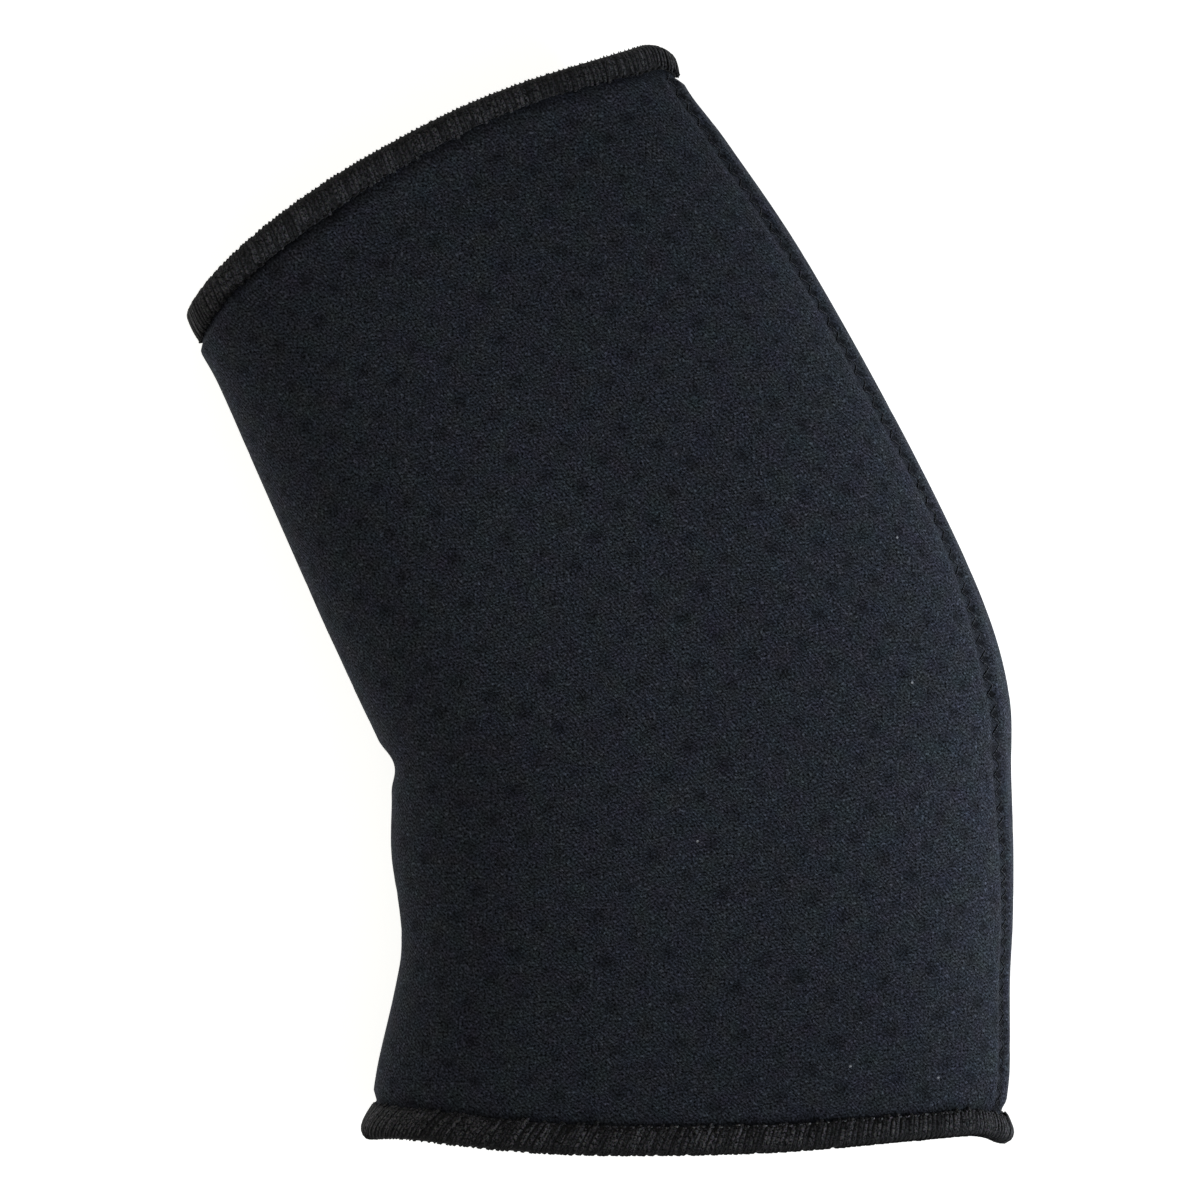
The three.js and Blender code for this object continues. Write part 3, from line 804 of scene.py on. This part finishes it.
def polyester_jersey(sizes, colours):
    """Polyester jersey laminated on perforated neoprene foam: a matt blue-black knit whose loops catch a
    soft sheen, with painted shade in the dimple over each hole in the foam, in the dents and the gathered
    band along the seam and in a crease by each hem, and a few pale specks of lint. Below the shoulder the
    pattern goes on in depth, so that it isn't mirrored underneath."""
    material, add = new_material("polyester_jersey_on_neoprene")
    cloth = add("UVMap", uv_map="cloth")
    spot = add("TexCoord").outputs["Object"]
    spot = add("SeparateXYZ", {"Vector": spot})
    depth = add("MapRange", {"Value": spot.outputs["Z"], "From Min": SHOULDER, "From Max": 0.0,
                             "To Max": SHOULDER / 2})
    depth = add("CombineXYZ", {"Z": depth})
    place = add("VectorMath", {0: cloth, 1: depth})
    relief, light = knit_relief(add, place, sizes)
    needles, band = seam_shades(add, sizes)
    crease = add("Attribute", attribute_name="crease").outputs["Fac"]
    colour = add("Mix", {"Factor": light, 6: rgba(colours.knit_shadow), 7: rgba(colours.knit)},
                 data_type="RGBA", clamp_factor=False).outputs[2]
    mottle = add("TexNoise", {"Vector": place, "Scale": 1 / MOTTLE_SIZE, "Detail": 2.0})
    mottle = add("VectorMath", {0: mottle.outputs["Color"], 1: 3 * (MOTTLE,), 2: 3 * (1 - MOTTLE / 2,)},
                 operation="MULTIPLY_ADD")
    colour = add("VectorMath", {0: colour, 1: mottle}, operation="MULTIPLY").outputs["Vector"]
    # Painted shade: the perforation colour over the dimples, the creases by the hems and the seam's band,
    # and the needle-dent colour in the seam's dents
    layers = ((perforation_spots(add, sizes), colours.hole), (crease, colours.hole), (band, colours.hole),
              (needles, colours.needle_dent), (lint_specks(add, cloth), colours.lint))
    for share, over in layers:
        colour = add("Mix", {"Factor": share, 6: colour, 7: rgba(over)}, data_type="RGBA").outputs[2]
    loops = add("Math", {0: relief, 1: LOOP_HEIGHT}, operation="MULTIPLY")
    height = add("Math", {0: needles, 1: -DENT_DEPTH, 2: loops}, operation="MULTIPLY_ADD")
    bump = add("Bump", {"Height": height, "Strength": 0.7, "Distance": 1.0})
    shader = add("BsdfPrincipled", {
        "Base Color": colour, "Normal": bump, "Roughness": 0.8, "IOR": 1.45, "Specular IOR Level": 0.05,
        "Sheen Weight": 0.05, "Sheen Roughness": 0.45, "Sheen Tint": rgba(linear("#b4c2e0")),
    })
    add("OutputMaterial", {"Surface": shader})
    return material


def twisted_thread(name, colour, ply):
    """Polyester thread, spun and twisted: matt fuzzy fibres in slanting plies, with painted shade where a
    strand turns away at its sides, and some strands lighter than others."""
    material, add = new_material(name)
    thread = add("UVMap", uv_map="thread")
    place = add("SeparateXYZ", {"Vector": thread})
    twist = add("Math", {0: place.outputs["X"], 1: FULL / ply, 2: place.outputs["Y"]},
                operation="MULTIPLY_ADD")
    plies = add("Math", {0: twist}, operation="SINE")
    spot = add("TexCoord").outputs["Object"]
    fuzz = add("TexNoise", {"Vector": spot, "Scale": 1 / FUZZ_SIZE, "Detail": 2.0})
    hues = add("VectorMath", {0: fuzz.outputs["Color"], 1: 3 * (HUES,), 2: 3 * (1 - HUES / 2,)},
               operation="MULTIPLY_ADD")
    fuzz = add("MapRange", {"Value": fuzz, "From Min": FUZZ_EDGES[0], "From Max": FUZZ_EDGES[1]})
    relief = add("Math", {0: plies, 1: PLY_SHARE, 2: fuzz}, operation="MULTIPLY_ADD")
    # The tone holds each strand's random lightness together with painted shade over the rim and on the
    # packed core, and painted light on the needle stitches and the middle of the upper-arm hem
    tone = add("Attribute", attribute_name="tone").outputs["Fac"]
    shade = add("Math", {0: relief, 1: tone}, operation="MULTIPLY")
    # Painted shade towards the sides of a strand
    beside = add("Math", {0: place.outputs["Y"], 1: 2.0}, operation="POWER")
    round_it = add("MapRange", {"Value": beside, "To Min": 1.0, "To Max": SIDE_SHADE})
    shade = add("Math", {0: shade, 1: round_it}, operation="MULTIPLY")
    dark, light = (rgba(colour, gain) for gain in THREAD_GAINS)
    mixed = add("Mix", {"Factor": shade, 6: dark, 7: light}, data_type="RGBA",
                clamp_factor=False).outputs[2]
    mixed = add("VectorMath", {0: mixed, 1: hues}, operation="MULTIPLY")
    bump = add("Bump", {"Height": relief, "Strength": 0.6, "Distance": PLY_HEIGHT})
    shader = add("BsdfPrincipled", {
        "Base Color": mixed, "Normal": bump, "Roughness": 0.75, "IOR": 1.5, "Specular IOR Level": 0.08,
        "Sheen Weight": 0.05, "Sheen Roughness": 0.5,
    })
    add("OutputMaterial", {"Surface": shader})
    return material


def white_paper(colours, glow):
    """Matt white paper, rolled smooth and lit from below: an even pale ground with a faint mottle."""
    material, add = new_material("matt_white_paper")
    spot = add("TexCoord").outputs["Object"]
    mottle = add("TexNoise", {"Vector": spot, "Scale": 1 / PAPER_MOTTLE})
    mixed = add("Mix", {"Factor": mottle, 6: rgba(colours.floor, PAPER_SHADE), 7: rgba(colours.floor)},
                data_type="RGBA").outputs[2]
    shader = add("BsdfPrincipled", {
        "Base Color": mixed, "Roughness": 0.9, "Specular IOR Level": 0.1,
        "Emission Color": rgba(colours.floor), "Emission Strength": glow,
    })
    add("OutputMaterial", {"Surface": shader})
    return material


def place_on_part(piece, node):
    """Makes a piece ride with the sleeve and stand for one of its nodes."""
    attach(piece, "root")
    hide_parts(node)


def neoprene_tube(sizes, material):
    """The outer face from rim to rim and the inner face back again, as one closed grid. The outer face
    sinks under the hems, in the seam's groove and over the perforations."""
    angle = angle_round(np.arange(BODY_COLUMNS) / BODY_COLUMNS)[None, :]
    cut = sizes.thread_depth + sizes.clearance
    outer = np.linspace(cut, LENGTH - cut, OUTER_ROWS)[:, None]
    inner = np.linspace(LENGTH - cut, cut, INNER_ROWS)[:, None]
    along = np.concatenate([outer, inner])
    cloth = on_cloth(along, angle)
    counts = by_perforations(cloth, sizes)
    pinched = pinch(outer, angle, sizes.pinch_reach, sizes)
    sunk = np.maximum(pinched * cut, groove(angle) * sizes.groove_depth)
    plain = (1 - pinched) * (1 - groove(angle))
    dents = sizes.hole_depth * dimple(counts[:OUTER_ROWS], sizes)
    dents = dents + sizes.ripple * unevenness(cloth[:OUTER_ROWS]) * np.clip(np.sin(angle), 0, 1)
    outside = below(outer, angle, sunk + plain * dents)
    back = cut + sizes.wall_under_hem - sizes.wall
    inside = below(inner, angle, sizes.wall + back * pinch(inner, angle, sizes.pinch_reach, sizes))
    vertices = np.concatenate([outside, inside])
    maps = {"cloth": cloth, "perforations": counts, "seam": by_seam(along, angle, sizes)}
    # Painted shade in the crease beside each hem, kept in the crease attribute
    crease = pinch(along, angle, CREASE_SHARE * sizes.pinch_reach, sizes)
    crease = np.where(along < LENGTH / 2, *CREASE_SHADES) * crease
    return new_piece("neoprene_tube", vertices, [closed_quads(*vertices.shape[:2])], material, maps,
                     {"crease": crease})


def rim_place(from_rim, is_forearm):
    """The place along the sleeve at a distance from one of the rims."""
    return LENGTH - from_rim if is_forearm else from_rim


def hem_section(sizes, inset, rim_inset, width):
    """Distance from the rim and depth along a hem's section, inset from its outside: in along the
    face, which falls towards the needle line, half an ellipse round the rim, and out along the back."""
    thickness = 2 * (sizes.thread_depth + sizes.clearance) + sizes.wall_under_hem
    radius = thickness / 2
    share = np.linspace(1, 0, FACE_STEPS + 1)[:-1]
    bend = np.linspace(0, HALF, BEND_STEPS)
    run = radius + (width - radius) * share
    curve = np.broadcast_to(radius - (radius - rim_inset) * np.sin(bend), (len(run), len(bend)))
    from_rim = np.concatenate([run, curve, run[:, ::-1]], axis=1)
    depth = np.concatenate([inset + sizes.hem_roll * share ** 2, radius - (radius - inset) * np.cos(bend),
                            np.full(len(share), thickness - inset)])
    return from_rim, np.broadcast_to(depth, from_rim.shape)


def rim_shades():
    """The share of a strand's tone along a hem's section: full on the face, with painted shade over the rim
    and on the back.
    """
    bend = np.linspace(0, HALF, BEND_STEPS)
    over = 1 - (1 - RIM_SHADE) * smoothstep(bend, *RIM_ARC)
    return np.concatenate([np.ones(FACE_STEPS), over, np.full(FACE_STEPS, RIM_SHADE)])


def hem_core(sizes, is_forearm):
    """The thread packed under the strands: a closed ring whose section goes out along the hem's
    section and back along the channel that holds the cloth."""
    angle = angle_round(np.arange(HEM_COLUMNS) / HEM_COLUMNS)[:, None]
    width = hem_width(angle, is_forearm)
    face, face_depth = hem_section(sizes, CORE_SHARE * sizes.strand_radius, CORE_RIM, CORE_WIDTH * width)
    channel, channel_depth = hem_section(sizes, sizes.thread_depth, sizes.thread_depth, width)
    from_rim = np.concatenate([face, channel[:, ::-1]], axis=1)
    depth = np.concatenate([face_depth, channel_depth[:, ::-1]], axis=1)
    depth = depth - CORE_LUMP * hem_lump(angle, sizes)
    rings = below(rim_place(from_rim, is_forearm), angle, depth).swapaxes(0, 1)
    return rings if is_forearm else rings[::-1]


def hem_strands(sizes, is_forearm, rng):
    """A bundle with two strands for each stitch, wound round the edge on the hem's section. A strand
    leans as it goes, more or less from the crook to the outside, and its ends tuck into the cloth."""
    around = length_round(rim_place(0.0, is_forearm))
    count = 2 * int(around / sizes.stitch)
    number = np.arange(count)[:, None]
    place = (number + PAIRING * (-1.0) ** number + rng.normal(0, PLACE_JITTER, (count, 1))) / count
    start = angle_round(place)
    hem = int(is_forearm)
    crook, outside = HEM_LEANS[hem]
    lean = crook + (outside - crook) * (1 + np.cos(start)) / 2 + rng.normal(0, LEAN_JITTER, (count, 1))
    width = hem_width(start, is_forearm) - STRAND_INSET + rng.normal(0, TIP_JITTER, (count, 1))
    inset = STRAND_FLATNESS * sizes.strand_radius
    from_rim, depth = hem_section(sizes, inset, inset, width)
    steps = np.hypot(np.diff(from_rim, axis=1), np.diff(depth, axis=1))
    run = np.concatenate([np.zeros((count, 1)), np.cumsum(steps, axis=1)], axis=1)
    angle = angle_round(place - np.tan(lean) * run / around)
    on_face = np.clip(4 - 4 * depth / depth.mean(), 0, 1)
    tuck = np.zeros(depth.shape[1])
    tuck[0] = TUCK_SHARE * sizes.strand_radius
    tuck[-1] = -tuck[0]
    lift = rng.normal(0, LIFT_JITTER, (count, 1)) + hem_lump(angle, sizes)
    along = rim_place(from_rim + rng.normal(0, RIM_JITTER, (count, 1)), is_forearm)
    taper = np.interp(np.arange(depth.shape[1]), (0, 1), (TIP_SHARE, 1))
    radius = sizes.strand_radius * (1 + rng.normal(0, RADIUS_JITTER, (count, 1))) * taper
    rings = lay_threads(along, angle, depth + tuck - on_face * lift, radius, STRAND_FLATNESS)
    # Painted light: strands lighter in the middle of the top of the upper-arm hem
    painted_light = 1 + MIDDLE_LIGHTS[hem] * hump(turn_from(QUARTER, start), MIDDLE_REACH)
    return rings, STRAND_TONES[hem], painted_light * rim_shades()


def needle_line(sizes, is_forearm, rng):
    """A bundle of stitches end to end along the inner edge of a hem, each dipping into the cloth at its
    ends, with a painted highlight that is strongest where the hem tips up."""
    count = int(length_round(rim_place(0.0, is_forearm)) / sizes.stitch)
    run = spread(NEEDLE_STEPS)
    angle = angle_round((np.arange(count)[:, None] + NEEDLE_LENGTH * run) / count)
    from_rim = hem_width(angle, is_forearm) - NEEDLE_INSET + rng.normal(0, NEEDLE_JITTER, (count, 1))
    dip = np.abs(2 * run) ** 3 * NEEDLE_DIP * sizes.needle_radius
    depth = sizes.hem_roll + dip - hem_lump(angle, sizes)
    # Painted highlight along the needle line
    painted_highlight = NEEDLE_SHARE + (1 - NEEDLE_SHARE) * hump(turn_from(NEEDLE_ANGLE, angle), NEEDLE_REACH)
    rings = lay_threads(rim_place(from_rim, is_forearm), angle, depth, sizes.needle_radius)
    return rings, NEEDLE_LIGHTS[int(is_forearm)], painted_highlight


def seam_stitches(sizes, rng):
    """Stitches from side to side of the groove, each bowed up between its two needle holes."""
    neck = seam_start(sizes)
    tooth = sizes.zigzag_pitch / 2
    count = int((LENGTH - 2 * neck) / tooth)
    run = spread(SEAM_STEPS)
    number = np.arange(count)[:, None]
    along = neck + (number + 0.5 + run) * tooth
    half_turn = GROOVE_FLOOR * sizes.zigzag_width / GROOVE_WIDTH
    angle = SEAM_ANGLE + (-1.0) ** number * 2 * run * half_turn
    rise = SEAM_RISE * (1 - (2 * run) ** 4)
    depth = sizes.groove_depth - rise + rng.normal(0, SEAM_JITTER, (count, 1))
    return lay_threads(along, angle, depth, sizes.zigzag_radius)


class SLEEVE_OT_neoprene_tube(bpy.types.Operator):
    """Builds the tube of perforated neoprene with its knitted face"""

    bl_idname = "sleeve.neoprene_tube"
    bl_label = "Neoprene tube"

    def execute(self, context):
        sizes, colours = context.scene.sleeve_sizes, context.scene.sleeve_colours
        piece = neoprene_tube(sizes, polyester_jersey(sizes, colours))
        place_on_part(piece, "sleeve_body")
        return {"FINISHED"}


class SLEEVE_OT_overlocked_hems(bpy.types.Operator):
    """Winds overlock thread round the cut edge at both ends"""

    bl_idname = "sleeve.overlocked_hems"
    bl_label = "Overlocked hems"

    def execute(self, context):
        sizes, colours = context.scene.sleeve_sizes, context.scene.sleeve_colours
        material = twisted_thread("texturised_overlock_thread", colours.hem, HEM_PLY)
        rng = np.random.default_rng(HEM_SEED)
        for node, is_forearm in (("upper_arm_hem", False), ("forearm_hem", True)):
            bundles = [hem_strands(sizes, is_forearm, rng), needle_line(sizes, is_forearm, rng)]
            piece = join_threads(node + "_thread", bundles, material, rng, hem_core(sizes, is_forearm))
            place_on_part(piece, node)
        return {"FINISHED"}


class SLEEVE_OT_zigzag_seam(bpy.types.Operator):
    """Lays the zigzag thread that closes the tube"""

    bl_idname = "sleeve.zigzag_seam"
    bl_label = "Zigzag seam"

    def execute(self, context):
        sizes, colours = context.scene.sleeve_sizes, context.scene.sleeve_colours
        material = twisted_thread("spun_seam_thread", colours.seam, SEAM_PLY)
        rng = np.random.default_rng(SEAM_SEED)
        bundles = [(seam_stitches(sizes, rng), SEAM_TONES, 1.0)]
        piece = join_threads("zigzag_seam_thread", bundles, material, rng)
        place_on_part(piece, "elbow_seam")
        return {"FINISHED"}


def soft_light(name, power, place, aim, size, fan, colour):
    """A square area light turned towards a point, with a grid that keeps its light within a fan."""
    data = bpy.data.lights.new(name, "AREA")
    data.size = size
    data.spread = fan
    data.energy = power
    data.color = colour
    light = bpy.data.objects.new(name, data)
    light.location = place
    light.rotation_euler = (Vector(aim) - Vector(place)).to_track_quat("-Z", "Y").to_euler()
    bpy.context.scene.collection.objects.link(light)


class SLEEVE_OT_stage(bpy.types.Operator):
    """Sets the floor, the soft lights and the camera above the sleeve"""

    bl_idname = "sleeve.stage"
    bl_label = "Stage"

    def execute(self, context):
        scene = context.scene
        stage, colours = scene.sleeve_stage, scene.sleeve_colours
        reach = FLOOR_REACH
        mesh = bpy.data.meshes.new("paper_floor")
        mesh.from_pydata([(-reach, -reach, 0), (reach, -reach, 0), (reach, reach, 0), (-reach, reach, 0)],
                         [], [(0, 1, 2, 3)])
        mesh.materials.append(white_paper(colours, stage.glow))
        floor = bpy.data.objects.new("paper_floor", mesh)
        scene.collection.objects.link(floor)

        soft_light("key_light", stage.key, **KEY_LIGHT)
        soft_light("fill_light", stage.fill, **FILL_LIGHT)
        world = bpy.data.worlds.new("even_sky")
        world.use_nodes = True
        world.node_tree.nodes["Background"].inputs["Strength"].default_value = stage.sky
        world.node_tree.nodes["Background"].inputs["Color"].default_value = (1.0, 1.0, 1.0, 1.0)
        scene.world = world
        scene.view_settings.view_transform = "Standard"

        data = bpy.data.cameras.new("camera_above")
        data.lens = data.sensor_width * (stage.camera_height - OUTLINE_HEIGHT) / stage.framed_width
        camera = bpy.data.objects.new("camera_above", data)
        camera.location = (*PICTURE_CENTRE, stage.camera_height)
        scene.collection.objects.link(camera)
        scene.camera = camera
        return {"FINISHED"}


class SLEEVE_PT_sidebar(bpy.types.Panel):
    """Lists the sleeve's pieces, sizes and colours"""

    bl_idname = "SLEEVE_PT_sidebar"
    bl_label = "Sleeve"
    bl_space_type = "VIEW_3D"
    bl_region_type = "UI"
    bl_category = "Sleeve"

    def draw(self, context):
        for operator in OPERATORS:
            self.layout.operator(operator.bl_idname)
        for group in (context.scene.sleeve_sizes, context.scene.sleeve_colours, context.scene.sleeve_stage):
            box = self.layout.box()
            for name in group.__annotations__:
                box.prop(group, name)


GROUPS = {"sleeve_sizes": SleeveSizes, "sleeve_colours": SleeveColours, "sleeve_stage": StageSettings}
OPERATORS = (SLEEVE_OT_neoprene_tube, SLEEVE_OT_overlocked_hems, SLEEVE_OT_zigzag_seam, SLEEVE_OT_stage)
CLASSES = (*GROUPS.values(), *OPERATORS, SLEEVE_PT_sidebar)


def register():
    for made in CLASSES:
        bpy.utils.register_class(made)
    for name, group in GROUPS.items():
        setattr(bpy.types.Scene, name, PointerProperty(type=group))


def unregister():
    for name in GROUPS:
        delattr(bpy.types.Scene, name)
    for made in reversed(CLASSES):
        bpy.utils.unregister_class(made)


def main():
    """Builds every piece and the stage."""
    register()
    bpy.ops.sleeve.neoprene_tube()
    bpy.ops.sleeve.overlocked_hems()
    bpy.ops.sleeve.zigzag_seam()
    bpy.ops.sleeve.stage()


if __name__ == "__main__":
    main()
